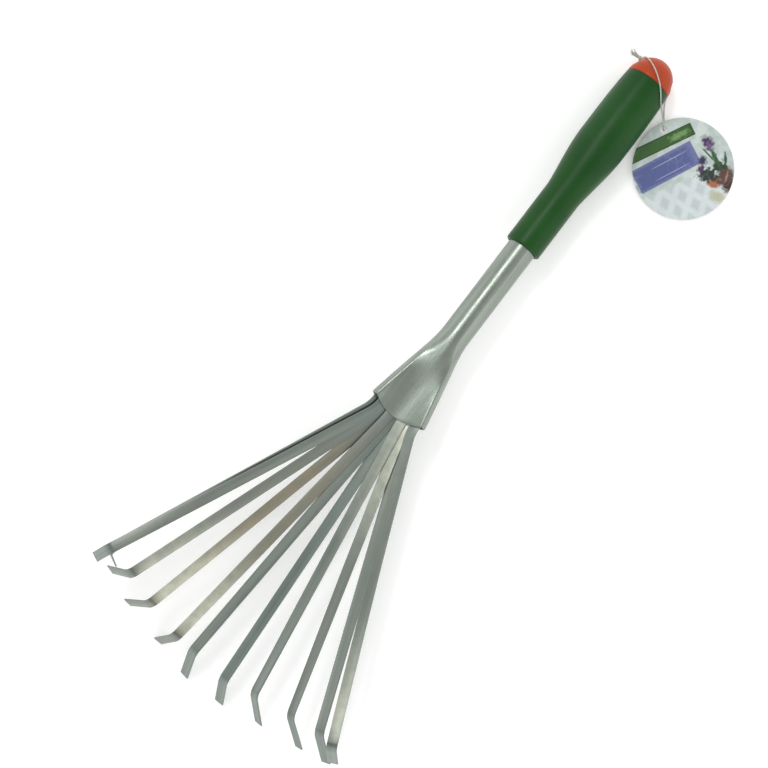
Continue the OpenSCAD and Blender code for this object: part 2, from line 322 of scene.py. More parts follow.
def settle(made):
    """Turns what the modifiers give into the object's own plain mesh."""
    bpy.context.view_layer.update()
    ready = made.evaluated_get(bpy.context.evaluated_depsgraph_get())
    mesh = bpy.data.meshes.new_from_object(ready)
    mesh.name = made.name
    made.modifiers.clear()
    old = made.data
    made.data = mesh
    bpy.data.meshes.remove(old)
    return made


def grow(made, tree, **sizes):
    """Runs a Geometry Nodes tree with its named inputs on the object, and keeps the result."""
    modifier = made.modifiers.new(tree.name, "NODES")
    modifier.node_group = tree
    for item in tree.interface.items_tree:
        key = item.name.replace(" ", "_")
        if item.item_type == "SOCKET" and item.in_out == "INPUT" and key in sizes:
            modifier[item.identifier] = sizes[key]
    return settle(made)


def give_finish(tree, take, give, geometry):
    """Ends a Geometry Nodes tree: the instances made real, with the tree's material on them."""
    real = put(tree, "GeometryNodeRealizeInstances", {0: geometry})
    done = put(tree, "GeometryNodeSetMaterial", {
        "Geometry": real.outputs[0], "Material": take.outputs["Finish"]})
    tree.links.new(done.outputs[0], give.inputs[0])


def finish_piece(made, material, body, slot, *nodes):
    """Gives a piece its material if it has none and its body, and hides its CAD nodes. slot is not used."""
    if not made.data.materials:
        made.data.materials.append(material)
    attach(made, body)
    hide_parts(*nodes)
    print(made.name, len(made.data.polygons), "faces for", ", ".join(nodes))
    return made


def soften_edges(made, width, segments, angle):
    """Rounds the edges that are sharper than an angle in degrees."""
    soften = made.modifiers.new("soft edges", "BEVEL")
    soften.width = width
    soften.segments = segments
    soften.limit_method = "ANGLE"
    soften.angle_limit = math.radians(angle)


def cut_away(made, cutter):
    """Takes a closed cutter out of a piece."""
    cut = made.modifiers.new("cut", "BOOLEAN")
    cut.object = cutter
    cut.solver = "EXACT"


def shade_smooth(made, angle):
    made.data.shade_smooth()
    made.data.set_sharp_from_angle(angle=math.radians(angle))


print("piece helpers ready")

# %% [markdown]
# ## The thread of the tag
# The thread runs from its knot over the cap, down through the tag, back under it and through the slot of the
# cap. It is a fine three-lobed twist, so the tree sweeps a lobed section along the route and turns it
# steadily. The points are the CAD's route, drawn in millimetres around the slot of the cap, and they move
# with the slot.

# %% The route
ROUTE_MM = [
    (-13.7, 203.3, 9.8), (-12.9, 203.7, 12.2), (-12.3, 204, 15.1), (-11.3, 203.9, 17.8), (-9.9, 203.3, 20.3),
    (-8.2, 202.4, 22.4), (-6.1, 201.2, 24.1), (-3.9, 199.8, 25.2), (-1.6, 198.3, 25.7), (0.7, 196.6, 25.7),
    (3, 194.8, 25.2), (5.1, 192.8, 24.3), (7, 190.8, 23), (8.7, 188.9, 21.2), (11.2, 187.2, 17.4),
    (14.1, 185.4, 12.7), (16.9, 183.7, 8.1), (18.9, 182.4, 4.9), (19.7, 181.9, 3.5), (20, 181.7, 2.4),
    (19.7, 181.9, 1.3), (19.2, 182.4, 0.7), (18.4, 183.6, 0.5), (17, 185.8, 0.5), (15.5, 188, 0.5),
    (13.9, 190.2, 0.6), (12.4, 192.2, 1.1), (11.1, 194.2, 2.2), (10.2, 196.2, 4), (9.7, 198, 6.2),
    (8.9, 199.3, 8.1), (7.1, 199.6, 8.7), (3.2, 199.6, 8.6), (-1.3, 199.6, 8.5), (-5.8, 199.6, 8.6),
    (-10.3, 199.7, 8.7), (-12.5, 200.4, 8.8), (-13.5, 201.8, 8.9), (-13.9, 203, 9)]
THREAD_D = 0.9 * MM
ROUTE_STEPS = 6
DRAWN_SLOT = Vector((-2.56, 199.61, 0))
CAP_SLOT = Vector((-2.334, 199.635, 0))


def beside_cap(x, y, z):
    """A place drawn around the cap's slot, in millimetres, moved with the slot and given in metres."""
    return (Vector((x, y, z)) + CAP_SLOT - DRAWN_SLOT) * MM


def smooth_path(points, steps):
    """A curve through all the points, with steps short chords between each two."""
    points = [Vector(p) for p in points]
    out = []
    for i in range(len(points) - 1):
        a, b, c, d = (points[min(len(points) - 1, max(0, i + n))] for n in (-1, 0, 1, 2))
        for j in range(steps):
            v = j / steps
            out.append(b + 0.5 * v * (c - a + v * (2 * a - 5 * b + 4 * c - d + v * (3 * (b - c) + d - a))))
    return out + [points[-1]]


route = smooth_path([beside_cap(*p) for p in ROUTE_MM], ROUTE_STEPS)
route_length = sum((b - a).length for a, b in zip(route, route[1:]))
print("thread", round(route_length * 1000, 1), "mm long")

# %% The twisted sweep
TREE = "GeometryNodeTree"
GEOMETRY, MATERIAL, INT = "NodeSocketGeometry", "NodeSocketMaterial", "NodeSocketInt"
twist, take, give = new_group(TREE, "Twisted thread",
                              [("Rail", GEOMETRY, None), ("Diameter", FLOAT, 0.001),
                               ("Turn length", FLOAT, 0.004), ("Lobe", FLOAT, 0.1), ("Sides", INT, 12),
                               ("Finish", MATERIAL, None)],
                              [("Piece", GEOMETRY)])
rail = put(twist, "GeometryNodeMeshToCurve", {"Mesh": take.outputs["Rail"]})
place = put(twist, "GeometryNodeSplineParameter")
turns = maths(twist, "DIVIDE", place.outputs["Length"], take.outputs["Turn length"])
turned = put(twist, "GeometryNodeSetCurveTilt", {"Curve": rail.outputs[0],
                                                 "Tilt": maths(twist, "MULTIPLY", turns, 2 * math.pi)})
ring = put(twist, "GeometryNodeCurvePrimitiveCircle", {
    "Resolution": take.outputs["Sides"],
    "Radius": maths(twist, "MULTIPLY", take.outputs["Diameter"], 0.5)})
spot = put(twist, "GeometryNodeInputPosition")
parts = put(twist, "ShaderNodeSeparateXYZ", {0: spot.outputs[0]})
angle = maths(twist, "ARCTAN2", parts.outputs[1], parts.outputs[0])
wave = maths(twist, "COSINE", maths(twist, "MULTIPLY", angle, 3.0))
dip = maths(twist, "MULTIPLY", maths(twist, "SUBTRACT", wave, 1.0), take.outputs["Lobe"])
lobed = put(twist, "ShaderNodeVectorMath", {0: spot.outputs[0], "Scale": maths(twist, "ADD", dip, 1.0)},
            operation="SCALE")
section = put(twist, "GeometryNodeSetPosition", {"Geometry": ring.outputs[0], "Position": lobed.outputs[0]})
swept = put(twist, "GeometryNodeCurveToMesh", {
    "Curve": turned.outputs[0], "Profile Curve": section.outputs[0], "Fill Caps": True})
give_finish(twist, take, give, swept.outputs[0])

thread = rail_from("tag_thread", route)
grow(thread, twist, Diameter=THREAD_D, Turn_length=3.2 * MM, Lobe=0.1, Sides=12, Finish=thread_pale)
shade_smooth(thread, 60)
finish_piece(thread, thread_pale, "rake", "string", "tag_string")

# %% [markdown]
# ## The knot and its frayed ends
# The two ends of the thread are tied in a small tight knot, and the cut ends have opened into fine fibres.
# The knot's core is a closed three-crossing loop, swept with the same twist, and a second tree puts seeded
# fibres on the knot, each a little different in lean and length.

# %% The knot's core
KNOT = beside_cap(-13.9, 203.4, 9.3)
KNOT_UNIT = 0.3 * MM


def loop_point(turn):
    """A point on a three-crossing loop, with its flat side along the thread."""
    flat = (math.sin(turn) + 2 * math.sin(2 * turn), math.cos(turn) - 2 * math.cos(2 * turn))
    return KNOT + KNOT_UNIT * Vector((-1.6 * math.sin(3 * turn), flat[0], 1.05 * flat[1]))


LOOP_STEPS = 96
knot = rail_from("thread_knot", [loop_point(2 * math.pi * i / LOOP_STEPS) for i in range(LOOP_STEPS + 1)])
grow(knot, twist, Diameter=0.85 * MM, Turn_length=3.2 * MM, Lobe=0.1, Sides=12, Finish=thread_pale)
print("knot core", len(knot.data.polygons), "faces")

# %% The fibres
fray, take, give = new_group(TREE, "Frayed end",
                             [("Roots", GEOMETRY, None), ("Length", FLOAT, 0.006),
                              ("Thickness", FLOAT, 0.0002), ("Lean", FLOAT, 0.2), ("Seed", INT, 3),
                              ("Finish", MATERIAL, None)],
                             [("Piece", GEOMETRY)])
stem = put(fray, "GeometryNodeCurvePrimitiveLine", {"Start": (0, 0, 0)})
reach = put(fray, "ShaderNodeCombineXYZ", {0: maths(fray, "MULTIPLY", take.outputs["Length"], -1.0)})
fray.links.new(reach.outputs[0], stem.inputs["End"])
fine = put(fray, "GeometryNodeResampleCurve", {"Curve": stem.outputs[0], "Count": 10})
share = put(fray, "GeometryNodeSplineParameter").outputs["Factor"]
droop = put(fray, "ShaderNodeCombineXYZ", {
    1: maths(fray, "MULTIPLY", maths(fray, "SINE", maths(fray, "MULTIPLY", share, 3.5)), 0.0003),
    2: maths(fray, "MULTIPLY", maths(fray, "POWER", share, 2.0), -0.0012)})
curved = put(fray, "GeometryNodeSetPosition", {"Geometry": fine.outputs[0], "Offset": droop.outputs[0]})
round_ring = put(fray, "GeometryNodeCurvePrimitiveCircle", {
    "Resolution": 6, "Radius": maths(fray, "MULTIPLY", take.outputs["Thickness"], 0.5)})
hair_mesh = put(fray, "GeometryNodeCurveToMesh", {
    "Curve": curved.outputs[0], "Profile Curve": round_ring.outputs[0], "Fill Caps": True})
low = put(fray, "ShaderNodeCombineXYZ", {
    0: -math.pi, 1: maths(fray, "MULTIPLY", take.outputs["Lean"], -1.0),
    2: maths(fray, "MULTIPLY", take.outputs["Lean"], -1.0)})
high = put(fray, "ShaderNodeCombineXYZ", {0: math.pi, 1: take.outputs["Lean"], 2: take.outputs["Lean"]})
leans = put(fray, "FunctionNodeRandomValue", {"Min": low.outputs[0], "Max": high.outputs[0],
                                              "Seed": take.outputs["Seed"]}, data_type="FLOAT_VECTOR")
lengths = put(fray, "FunctionNodeRandomValue", {2: 0.6, 3: 1.0, "Seed": take.outputs["Seed"]},
              data_type="FLOAT")
size = put(fray, "ShaderNodeCombineXYZ", {0: lengths.outputs[1], 1: 1.0, 2: 1.0})
fibres = put(fray, "GeometryNodeInstanceOnPoints", {
    "Points": take.outputs["Roots"], "Instance": hair_mesh.outputs[0], "Rotation": leans.outputs[0],
    "Scale": size.outputs[0]})
give_finish(fray, take, give, fibres.outputs[0])

FIBRES = 24
GOLDEN_TURN = 2.4


def fibre_root(i):
    """The fibres stand on a spiral, like seeds."""
    out = 0.25 + 0.02 * i
    return KNOT + MM * Vector((-0.6, out * math.cos(i * GOLDEN_TURN), out * math.sin(i * GOLDEN_TURN)))


roots = [fibre_root(i) for i in range(FIBRES)]
ends = new_object("frayed_ends", mesh_from("frayed_ends", roots))
grow(ends, fray, Length=6.4 * MM, Thickness=0.34 * MM, Lean=0.1, Seed=4, Finish=thread_pale)
bm = bmesh.new()
bm.from_mesh(knot.data)
bm.from_mesh(ends.data)
bm.to_mesh(knot.data)
bm.free()
bpy.data.objects.remove(ends)
shade_smooth(knot, 60)
finish_piece(knot, thread_pale, "rake", "string", "string_knot")

# %% [markdown]
# ## The tag
# The tag is a round laminated card. It is modelled as a disc of rings, so that it can carry the slight warp
# of a card that has hung on a thread, with a punched hole and softened edges.

# %% The card
TAG_HOLE = beside_cap(19.6, 182.0, 0)
TAG_MIDDLE = beside_cap(40.63, 171.74, 0)
TAG_R = 27.5 * MM
TAG_LOW, TAG_T = 1.2 * MM, 0.7 * MM
TAG_RINGS, TAG_SIDES = 18, 120


def card_point(ring, side):
    radius = TAG_R * ring / TAG_RINGS
    turn = 2 * math.pi * side / TAG_SIDES
    flat = TAG_MIDDLE + radius * Vector((math.cos(turn), math.sin(turn), 0))
    lift = (radius / TAG_R) ** 2 * (0.18 + 0.14 * math.sin(2 * turn + 0.7)) * MM
    return flat + Vector((0, 0, TAG_LOW + TAG_T + lift))


points = [card_point(0, 0)] + [card_point(r, s) for r in range(1, TAG_RINGS + 1) for s in range(TAG_SIDES)]
faces = [(0, 1 + s, 1 + (s + 1) % TAG_SIDES) for s in range(TAG_SIDES)]
for r in range(TAG_RINGS - 1):
    for s in range(TAG_SIDES):
        a, b = 1 + r * TAG_SIDES + s, 1 + r * TAG_SIDES + (s + 1) % TAG_SIDES
        faces.append((a, a + TAG_SIDES, b + TAG_SIDES, b))
tag = new_object("tag_card", mesh_from("tag_card", points, faces))
wall = tag.modifiers.new("card", "SOLIDIFY")
wall.thickness = TAG_T
wall.offset = -1

HOLE_R, PUNCH_SIDES = 2 * MM, 48
punch_points = [TAG_HOLE + HOLE_R * Vector((math.cos(a), math.sin(a), 0)) + Vector((0, 0, z))
                for z in (0, 4 * MM) for a in (2 * math.pi * i / PUNCH_SIDES for i in range(PUNCH_SIDES))]
punch_faces = [tuple(range(PUNCH_SIDES - 1, -1, -1)), tuple(range(PUNCH_SIDES, 2 * PUNCH_SIDES))]
punch_faces += [(i, (i + 1) % PUNCH_SIDES, PUNCH_SIDES + (i + 1) % PUNCH_SIDES, PUNCH_SIDES + i)
                for i in range(PUNCH_SIDES)]
punch = new_object("punch", mesh_from("punch", punch_points, punch_faces))
cut_away(tag, punch)
soften_edges(tag, 0.12 * MM, 2, 50)
settle(tag)
bpy.data.objects.remove(punch)
shade_smooth(tag, 40)
print("card", len(tag.data.polygons), "faces")

# %% [markdown]
# ## The print on the tag
# The card carries a green band and a violet band that rise to the right, a pale trellis under them, and a
# potted plant at the right. There is no lettering: two plain rules stand on the violet band. Each printed
# shape is one use of a small shader group that draws a soft-edged oval or bar, so the picture is a short list
# of places, sizes and colours.

# %% Shader group for one printed shape
patch, take, give = new_group("ShaderNodeTree", "Printed patch",
                              [("Vector", VECTOR, None), ("Middle", VECTOR, (0, 0, 0)),
                               ("Half size", VECTOR, (1, 1, 1)), ("Turn", FLOAT, 0.0),
                               ("Bar", FLOAT, 0.0), ("Waver", FLOAT, 0.0), ("Softness", FLOAT, 0.1)],
                              [("Mask", FLOAT)])
ruffle = put(patch, "ShaderNodeTexNoise", {"Vector": take.outputs["Vector"], "Scale": 0.55, "Detail": 3.0})
moved = put(patch, "ShaderNodeVectorMath", {0: take.outputs["Vector"], 1: take.outputs["Middle"]},
            operation="SUBTRACT")
angle = maths(patch, "MULTIPLY", take.outputs["Turn"], -1.0)
level = put(patch, "ShaderNodeVectorRotate", {"Vector": moved.outputs[0], "Angle": angle},
            rotation_type="Z_AXIS")
scaled = put(patch, "ShaderNodeVectorMath", {0: level.outputs[0], 1: take.outputs["Half size"]},
             operation="DIVIDE")
xyz = put(patch, "ShaderNodeSeparateXYZ", {0: scaled.outputs[0]})
x, y = (maths(patch, "ABSOLUTE", xyz.outputs[i]) for i in (0, 1))
square = maths(patch, "ADD", maths(patch, "MULTIPLY", x, x), maths(patch, "MULTIPLY", y, y))
oval = maths(patch, "SQRT", square)
bar = maths(patch, "MAXIMUM", x, y)
shape = put(patch, "ShaderNodeMix", {0: take.outputs["Bar"], 2: oval, 3: bar}).outputs[0]
centred = maths(patch, "SUBTRACT", ruffle.outputs[0], 0.5)
shape = maths(patch, "ADD", shape, maths(patch, "MULTIPLY", centred, take.outputs["Waver"]))
inner = maths(patch, "SUBTRACT", 1.0, take.outputs["Softness"])
patch.links.new(spread(patch, shape, inner, 1.0, 1.0, 0.0), give.inputs[0])
print("group", patch.name)

# %% The printed picture, in millimetres from the middle of the card
# Colour, middle, half size, turn in degrees, 1 for a bar or 0 for an oval, waver, softness
PICTURE = [
    (rgb(40, 70, 30), (-14.0, 12.5), (21.6, 3.5), 25.6, 1, 0.0, 0.02),
    (rgb(50, 92, 36), (-14.0, 12.5), (21.1, 2.9), 25.6, 1, 0.12, 0.1),
    (rgb(106, 142, 84), (-2.2, 18.2), (6.6, 1.7), 25.6, 1, 1.2, 0.5),
    (rgb(104, 111, 156), (-9.2, 0.7), (18.2, 6.8), 28.0, 1, 0.0, 0.02),
    (rgb(82, 92, 142), (-10.6, 0.0), (18.0, 6.1), 28.0, 1, 0.3, 0.2),
    (rgb(150, 154, 188), (-7.6, 4.6), (11.6, 0.28), 28.0, 1, 0.1, 0.4),
    (rgb(150, 154, 188), (-5.8, -1.9), (11.0, 0.28), 28.0, 1, 0.1, 0.4),
    (rgb(178, 180, 156), (18.4, -15.2), (6.4, 3.8), -24.0, 0, 0.9, 0.6),
    (rgb(62, 44, 38), (23.6, -6.6), (4.6, 8.2), 12.0, 0, 0.8, 0.4),
    (rgb(88, 60, 50), (22.6, -2.4), (4.9, 5.6), 8.0, 0, 1.0, 0.5),
    (rgb(150, 122, 112), (23.4, -4.4), (0.8, 4.6), -14.0, 0, 0.9, 0.7),
    (rgb(96, 60, 44), (17.6, -6.6), (6.0, 3.0), -18.0, 0, 0.9, 0.5),
    (rgb(160, 98, 66), (16.0, -8.6), (4.6, 2.2), -18.0, 0, 0.7, 0.5),
    (rgb(34, 50, 42), (13.2, -3.2), (6.6, 4.4), 8.0, 0, 1.5, 0.4),
    (rgb(38, 56, 40), (19.4, 1.4), (4.6, 3.6), 20.0, 0, 1.6, 0.4),
    (rgb(50, 84, 50), (17.4, 5.8), (1.6, 8.2), 26.0, 0, 1.0, 0.5),
    (rgb(64, 92, 60), (14.0, 7.2), (0.7, 7.0), 44.0, 0, 1.0, 0.6),
    (rgb(52, 78, 56), (22.8, 5.4), (1.1, 5.0), 6.0, 0, 1.4, 0.6),
    (rgb(50, 42, 80), (10.6, 4.4), (2.9, 3.4), 10.0, 0, 1.4, 0.5),
    (rgb(150, 140, 170), (12.4, 3.4), (1.0, 1.4), 10.0, 0, 1.4, 0.7),
    (rgb(76, 46, 84), (9.6, 0.0), (2.6, 2.4), 0.0, 0, 1.4, 0.5),
    (rgb(70, 46, 84), (13.4, 13.8), (3.6, 5.4), 28.0, 0, 1.5, 0.5),
    (rgb(112, 86, 132), (14.2, 12.6), (1.8, 3.2), 28.0, 0, 2.0, 0.8),
]
card_print, tree, body = new_material("printed card", Specular_IOR_Level=0.5)
coordinates = put(tree, "ShaderNodeTexCoord")
flat_place = put(tree, "ShaderNodeMapping", {
    "Vector": coordinates.outputs["Object"], "Location": tuple(TAG_MIDDLE), "Rotation": (0, 0, VIEW_TURN),
    "Scale": (MM, MM, MM)}, vector_type="TEXTURE").outputs[0]
cloud = put(tree, "ShaderNodeTexNoise", {"Vector": flat_place, "Scale": 0.16, "Detail": 4.0})
ground = spread(tree, cloud.outputs[0], 0.38, 0.64)
ground = blend_colour(tree, ground, rgb(172, 184, 180), rgb(198, 208, 205))


def slats(turn, pitch, width):
    """Pale slats that cross the card at a turn, as a mask."""
    turned_place = put(tree, "ShaderNodeVectorRotate", {"Vector": flat_place, "Angle": math.radians(turn)},
                       rotation_type="Z_AXIS").outputs[0]
    x = put(tree, "ShaderNodeSeparateXYZ", {0: turned_place}).outputs[0]
    return spread(tree, maths(tree, "PINGPONG", x, pitch / 2), width, width + 1.5, 1.0, 0.0)


low_part = put(tree, "ShaderNodeGroup", {
    "Vector": flat_place, "Middle": (2.0, -17.5, 0), "Half size": (25.0, 11.5, 1), "Turn": math.radians(24),
    "Bar": 1.0, "Waver": 0.2, "Softness": 0.12}, node_tree=patch).outputs[0]
lattice = maths(tree, "MAXIMUM", slats(17, 8.0, 1.0), slats(-58, 8.4, 0.9))
trellis = blend_colour(tree, lattice, rgb(184, 193, 197), rgb(207, 215, 216))
ground = blend_colour(tree, maths(tree, "MULTIPLY", low_part, 0.8), ground, trellis)
for colour, middle, half, turn, bar, waver, softness in PICTURE:
    mask = put(tree, "ShaderNodeGroup", {
        "Vector": flat_place, "Middle": (*middle, 0), "Half size": (*half, 1000.0),
        "Turn": math.radians(turn), "Bar": bar, "Waver": waver, "Softness": softness},
        node_tree=patch).outputs[0]
    ground = blend_colour(tree, mask, ground, colour)
facing = put(tree, "ShaderNodeSeparateXYZ", {0: coordinates.outputs["Normal"]}).outputs[2]
ground = blend_colour(tree, spread(tree, facing, 0.5, 0.8), rgb(205, 208, 204), ground)
patches, hair = place_marks(tree, coordinates.outputs["Object"], 110.0, 12.0)
ground = blend_colour(tree, maths(tree, "MULTIPLY", hair, 0.2), ground, rgb(235, 238, 236))
tree.links.new(ground, body.inputs["Base Color"])
tree.links.new(spread(tree, patches, 0.0, 1.0, 0.22, 0.34), body.inputs["Roughness"])
height = maths(tree, "ADD", maths(tree, "MULTIPLY", cloud.outputs[0], 2.0), hair)
raise_surface(tree, body, height, 0.00003, 0.4)
finish_piece(tag, card_print, "tag", "printed_card", "hang_tag")

# %% [markdown]
# ## The tines
# A tine is a flat strip that leaves the socket, turns to its own direction, bows and twists on its way out,
# and is folded down at its tip. The rule for its middle line is the CAD's. The tree sweeps a strip section
# with rolled edges along it, and stores where each point lies on the strip for the grain.

# %% The rule of the fan, in the handle's own frame and in millimetres
SPLAY = [-23.9, -24.9, -19.5, -13.5, -6.6, -3.2, 3.7, 9.1, 16, 21, 23.1]
ROLL = [16, -3, -24, -27, -17, 22, 19, 41, 45, 31, 13]
FOLD = [40, 26, 20, 11, 9, -5, 0, 0, 0, 4, 28]
BOW = [7, 11, 6, 1.5, -2.2, -1.2, -0.8, 0.4, 4, 7.6, 13]
REACH = [-2.6, -1, -3, -0.8, 2.2, 1.8, 4, 1.5, 3, 5.3, 8.8]
LAYERS = [-1, 1, 0]
TINE_W, TINE_T, TINE_L, TIP_L, TIP_BEND, DROOP, ROOT_DEPTH = 5.7, 0.8, 165, 21, 45, 8.8, 10
ROOT_PITCH, LAYER_STEP, CRESCENT_R, SOCKET_L = 0.44 * TINE_W, 1.02, 32, 50
EASE_FROM, EASE_L, TWIST_FROM, BEND_ARC, BEND_STEPS, TIP_STEPS, SHANK_STEPS = 2, 8, 50, 6, 10, 6, 44
LEAN = math.radians(4.65181)
MOUTH = Vector((-2.33412, -24.3247, 30.6728))
MIDDLE_TINE = len(SPLAY) // 2


def tan(degrees):
    return math.tan(math.radians(degrees))


def ramp(value):
    value = min(1, max(0, value))
    return value * value * (3 - 2 * value)


def flare(v):
    """How far the socket has opened: 0 on the round tube, 1 at its mouth."""
    return v * (1 - (1 - v) ** 4)


def placed(point):
    """A point of the handle's own frame, leaned and laid on the floor, in metres."""
    x, y, z = point
    return (Vector((x, y * math.cos(LEAN) + z * math.sin(LEAN), z * math.cos(LEAN) - y * math.sin(LEAN)))
            + MOUTH) * MM


def eased(u):
    v = u - EASE_FROM
    return 0 if v < 0 else v - EASE_L / 2 if v > EASE_L else v * v / (2 * EASE_L)


def arc_angle(k):
    return math.degrees((k - MIDDLE_TINE) * ROOT_PITCH / CRESCENT_R)


def shank_length(k):
    return (TINE_L + REACH[k]) * math.cos(math.radians(SPLAY[k]))


def slope(k):
    total = 0
    step = 1 if k > MIDDLE_TINE else -1
    for a in range(MIDDLE_TINE, k, step):
        total += (tan(SPLAY[a + step]) - tan(SPLAY[a])) * (tan(arc_angle(a)) + tan(arc_angle(a + step))) / 2
    return total


def shank_point(k, u):
    a = math.radians(arc_angle(k))
    draw = flare(1 + min(0, u) / SOCKET_L)
    layer = LAYERS[k % 3] * LAYER_STEP
    past = max(0, (u - TWIST_FROM) / (shank_length(k) - TWIST_FROM))
    root = Vector(((draw * CRESCENT_R - layer) * math.sin(a), 0,
                   draw * CRESCENT_R * (1 - math.cos(a)) + layer * math.cos(a)))
    rise = (slope(k) - tan(DROOP)) * eased(u) + BOW[k] * past ** 2
    return root + Vector((tan(SPLAY[k]) * eased(u), -u, rise))


def shank_station(k, u):
    """Middle, direction and sideways direction of tine k at u from the mouth."""
    way = (shank_point(k, u + 0.5) - shank_point(k, u - 0.5)).normalized()
    past = max(0, (u - TWIST_FROM) / (shank_length(k) - TWIST_FROM))
    roll = math.radians(arc_angle(k) + (ROLL[k] - arc_angle(k)) * ramp(past))
    level = Vector((math.cos(roll), 0, math.sin(roll)))
    return shank_point(k, u), way, (level - way * way.dot(level)).normalized()


def folded(way, side, degrees):
    turn = math.radians(degrees)
    return way * math.cos(turn) - way.cross(side) * math.sin(turn)


def tine_stations(k):
    last = shank_length(k) - BEND_ARC / 2
    stops = [-ROOT_DEPTH, -6, -3, 0, 1, 2, 3, 4, 5, 6, 7, 8, 9, 10]
    stops += [10 + (last - 10) * i / SHANK_STEPS for i in range(1, SHANK_STEPS + 1)]
    out = [shank_station(k, u) for u in stops]
    middle, way, side = out[-1]
    bend = TIP_BEND + FOLD[k]
    for _ in range(BEND_STEPS):
        middle = middle + folded(way, side, bend / BEND_STEPS / 2) * BEND_ARC / BEND_STEPS
        way = folded(way, side, bend / BEND_STEPS)
        out.append((middle, way, side))
    for i in range(1, TIP_STEPS + 1):
        out.append((middle + way * (TIP_L - BEND_ARC / 2) * i / TIP_STEPS, way, side))
    return out


# Per tine: painted warm reflection, painted highlight before the fold, and painted highlight near the root.
PAINTED_WARM_REFLECTION = [0.1, 0.15, 0.25, 0.85, 0.6, 0.1, 0.0, 0.1, 0.15, 0.1, 0.15]
HIGHLIGHT_BEFORE_FOLD = [0.0, 0.1, 0.5, 0.75, 0.85, 0.0, 0.0, 0.0, 0.0, 0.05, 0.5]
HIGHLIGHT_NEAR_ROOT = [0.0, 0.0, 0.0, 0.0, 0.0, 0.0, 0.08, 0.4, 0.95, 0.2, 0.1]


def painted_light_at(k, i, count):
    """Painted warm reflection, painted highlight and painted shade at the fold of tine k at its station i."""
    bend_at = count - 1 - TIP_STEPS - BEND_STEPS
    share = i / bend_at
    # Painted warm reflection, fading after the fold.
    warm_reflection = PAINTED_WARM_REFLECTION[k] * ramp(share * 3 - 0.4) * (1 - 0.7 * ramp((i - bend_at) / 4))
    # Painted highlight before the fold, near the root and, faintly, on the tip.
    end = HIGHLIGHT_BEFORE_FOLD[k] * ramp((share - 0.62) / 0.36) * (1 - ramp((i - bend_at + 2) / 3))
    root = HIGHLIGHT_NEAR_ROOT[k] * (1 - ramp((share - 0.2) / 0.42))
    # Painted shade along the fold, stronger where the painted highlight before it is stronger.
    fold_shade = (0.25 + 0.5 * HIGHLIGHT_BEFORE_FOLD[k]) * max(0, 1 - abs(i - bend_at - 2) / 3)
    tip = 0.04 * ramp((i - bend_at - 4) / 5)
    return warm_reflection, max(end, root, tip), fold_shade


print("tine rule ready for", len(SPLAY), "tines")

# %% The strip sweep
strip, take, give = new_group(TREE, "Rolled strip",
                              [("Rail", GEOMETRY, None), ("Width", FLOAT, 0.006), ("Thickness", FLOAT, 0.001),
                               ("Edge radius", FLOAT, 0.0003), ("Edge steps", INT, 3),
                               ("Grain start", FLOAT, 0.0), ("Finish", MATERIAL, None)],
                              [("Piece", GEOMETRY)])
rail = put(strip, "GeometryNodeMeshToCurve", {"Mesh": take.outputs["Rail"]})
side = put(strip, "GeometryNodeInputNamedAttribute", {"Name": "sideways"}, data_type="FLOAT_VECTOR")
rail = put(strip, "GeometryNodeSetCurveNormal", {"Curve": rail.outputs[0], "Normal": side.outputs[0]},
           mode="FREE")
length = put(strip, "GeometryNodeSplineParameter").outputs["Length"]
run = maths(strip, "ADD", length, take.outputs["Grain start"])
rail = put(strip, "GeometryNodeStoreNamedAttribute", {
    "Geometry": rail.outputs[0], "Name": "run", "Value": run},
    data_type="FLOAT", domain="POINT")
shape = put(strip, "GeometryNodeCurvePrimitiveQuadrilateral", {
    "Width": take.outputs["Width"], "Height": take.outputs["Thickness"]})
shape = put(strip, "GeometryNodeSubdivideCurve", {"Curve": shape.outputs[0], "Cuts": 0})
shape = put(strip, "GeometryNodeFilletCurve", {
    "Curve": shape.outputs[0], "Count": take.outputs["Edge steps"], "Radius": take.outputs["Edge radius"],
    "Limit Radius": True}, mode="POLY")
spot = put(strip, "GeometryNodeInputPosition")
shape = put(strip, "GeometryNodeStoreNamedAttribute", {
    "Geometry": shape.outputs[0], "Name": "section", "Value": spot.outputs[0]},
    data_type="FLOAT_VECTOR", domain="POINT")
swept = put(strip, "GeometryNodeCurveToMesh", {"Curve": rail.outputs[0], "Profile Curve": shape.outputs[0],
                                               "Fill Caps": True})
run = put(strip, "GeometryNodeInputNamedAttribute", {"Name": "run"}, data_type="FLOAT")
on_section = put(strip, "GeometryNodeInputNamedAttribute", {"Name": "section"}, data_type="FLOAT_VECTOR")
xyz = put(strip, "ShaderNodeSeparateXYZ", {0: on_section.outputs[0]})
where = put(strip, "ShaderNodeCombineXYZ", {0: xyz.outputs[0], 1: run.outputs[0], 2: xyz.outputs[1]})
placed_skin = put(strip, "GeometryNodeStoreNamedAttribute", {
    "Geometry": swept.outputs[0], "Name": "strip_place", "Value": where.outputs[0]},
    data_type="FLOAT_VECTOR", domain="POINT")
give_finish(strip, take, give, placed_skin.outputs[0])
print("tree", strip.name)

